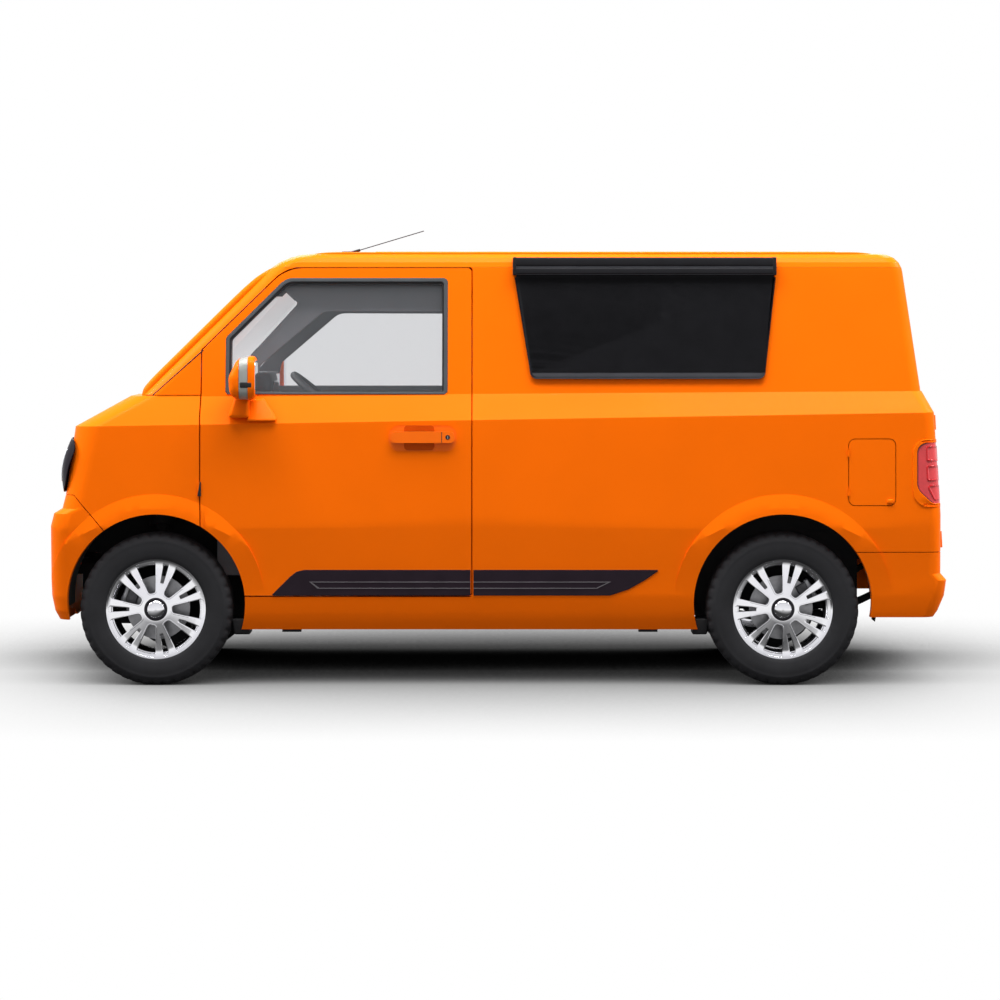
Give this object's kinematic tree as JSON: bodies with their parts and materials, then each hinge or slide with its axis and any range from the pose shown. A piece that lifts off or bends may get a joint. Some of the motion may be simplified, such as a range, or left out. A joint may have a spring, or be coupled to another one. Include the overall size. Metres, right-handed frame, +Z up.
{
  "type": "electric microvan",
  "caption": "Small orange electric panel van with hinged cab doors, twin rear doors, lifting bonnet, charge flap and steered front wheels",
  "frame": {"origin": "on the ground at mid length and mid width", "axes": "+X to the rear of the van, +Y to its right side, +Z up; the front faces -X"},
  "size_m": [3.33, 1.76, 1.6784],
  "materials": {
    "orange": "gloss",
    "handle_orange": "gloss",
    "glass": "gloss",
    "black": "gloss",
    "lamp_clear": "gloss",
    "lamp_red": "gloss",
    "dark_steel": "matte",
    "battery": "satin",
    "cab_plastic": "matte",
    "seat_cloth": "matte",
    "tyre": "matte",
    "bright": "gloss"
  },
  "bodies": {
    "body": {"floor_pan": "dark_steel", "roof_panel": "orange", "side_left": "orange", "side_right": "orange", "front_fenders": "orange", "cowl_panel": "orange", "front_bumper": "orange", "rear_bumper": "orange", "nose_mask": "black", "headlamps": "lamp_clear", "tail_lamps": "lamp_red", "windscreen": "glass", "side_boards": "black", "bulkhead": "cab_plastic", "dashboard": "cab_plastic", "seats": "seat_cloth", "steering_column": "cab_plastic", "battery_pack": "battery", "rear_axle": "dark_steel", "leaf_springs": "dark_steel", "front_suspension": "dark_steel", "antenna": "black", "charge_socket": "black"},
    "door_left": {"door_left": "orange", "door_glass_left": "glass", "door_mirror_left": "orange", "door_handle_left": "handle_orange"},
    "door_right": {"door_right": "orange", "door_glass_right": "glass", "door_mirror_right": "orange", "door_handle_right": "handle_orange"},
    "rear_door_left": {"rear_door_left": "orange", "rear_glass_left": "glass"},
    "rear_door_right": {"rear_door_right": "orange", "rear_glass_right": "glass"},
    "bonnet": {"bonnet": "orange"},
    "charge_flap": {"charge_flap": "orange"},
    "knuckle_left": {"knuckle_left": "dark_steel"},
    "knuckle_right": {"knuckle_right": "dark_steel"},
    "wheel_fl": {"tyre_fl": "tyre", "rim_fl": "bright"},
    "wheel_fr": {"tyre_fr": "tyre", "rim_fr": "bright"},
    "wheel_rl": {"tyre_rl": "tyre", "rim_rl": "bright"},
    "wheel_rr": {"tyre_rr": "tyre", "rim_rr": "bright"},
    "steering_wheel": {"steering_wheel": "cab_plastic"}
  },
  "joints": [
    {"name": "door_left_hinge", "type": "hinge", "parent": "body", "child": "door_left", "pos_m": [-1.0925, -0.742, 0.828], "axis": [0, 0, -1], "range_deg": [0, 68]},
    {"name": "door_right_hinge", "type": "hinge", "parent": "body", "child": "door_right", "pos_m": [-1.0925, 0.742, 0.828], "axis": [0, 0, 1], "range_deg": [0, 68]},
    {"name": "rear_door_left_hinge", "type": "hinge", "parent": "body", "child": "rear_door_left", "pos_m": [1.646, -0.642, 0.541], "axis": [0.0539, 0, -0.9985], "range_deg": [0, 155]},
    {"name": "rear_door_right_hinge", "type": "hinge", "parent": "body", "child": "rear_door_right", "pos_m": [1.646, 0.642, 0.541], "axis": [-0.0539, 0, 0.9985], "range_deg": [0, 155]},
    {"name": "bonnet_hinge", "type": "hinge", "parent": "body", "child": "bonnet", "pos_m": [-1.381, 0, 1.064], "axis": [0, 1, 0], "range_deg": [0, 55]},
    {"name": "charge_flap_hinge", "type": "hinge", "parent": "body", "child": "charge_flap", "pos_m": [1.298, -0.738, 0.788], "axis": [0, 0, -1], "range_deg": [0, 95]},
    {"name": "steer_left", "type": "hinge", "parent": "body", "child": "knuckle_left", "pos_m": [-1.259, -0.585, 0.2], "axis": [0, 0.2775, 0.9607], "range_deg": [-30, 30]},
    {"name": "steer_right", "type": "hinge", "parent": "body", "child": "knuckle_right", "pos_m": [-1.259, 0.585, 0.2], "axis": [0, -0.2775, 0.9607], "range_deg": [-30, 30]},
    {"name": "steering_wheel_turn", "type": "hinge", "parent": "body", "child": "steering_wheel", "pos_m": [-0.64, -0.34, 1.03], "axis": [0.6429, 0, 0.7659], "range_deg": [-450, 450]},
    {"name": "wheel_fl_spin", "type": "hinge", "parent": "knuckle_left", "child": "wheel_fl", "pos_m": [-1.259, -0.64, 0.281], "axis": [0, -1, 0], "continuous": true},
    {"name": "wheel_fr_spin", "type": "hinge", "parent": "knuckle_right", "child": "wheel_fr", "pos_m": [-1.259, 0.64, 0.281], "axis": [0, -1, 0], "continuous": true},
    {"name": "wheel_rl_spin", "type": "hinge", "parent": "body", "child": "wheel_rl", "pos_m": [1.056, -0.64, 0.281], "axis": [0, -1, 0], "continuous": true},
    {"name": "wheel_rr_spin", "type": "hinge", "parent": "body", "child": "wheel_rr", "pos_m": [1.056, 0.64, 0.281], "axis": [0, -1, 0], "continuous": true}
  ],
  "couplings": [
    {"joint": "steer_right", "follows": "steer_left", "ratio": 1},
    {"joint": "steering_wheel_turn", "follows": "steer_left", "ratio": 15}
  ]
}
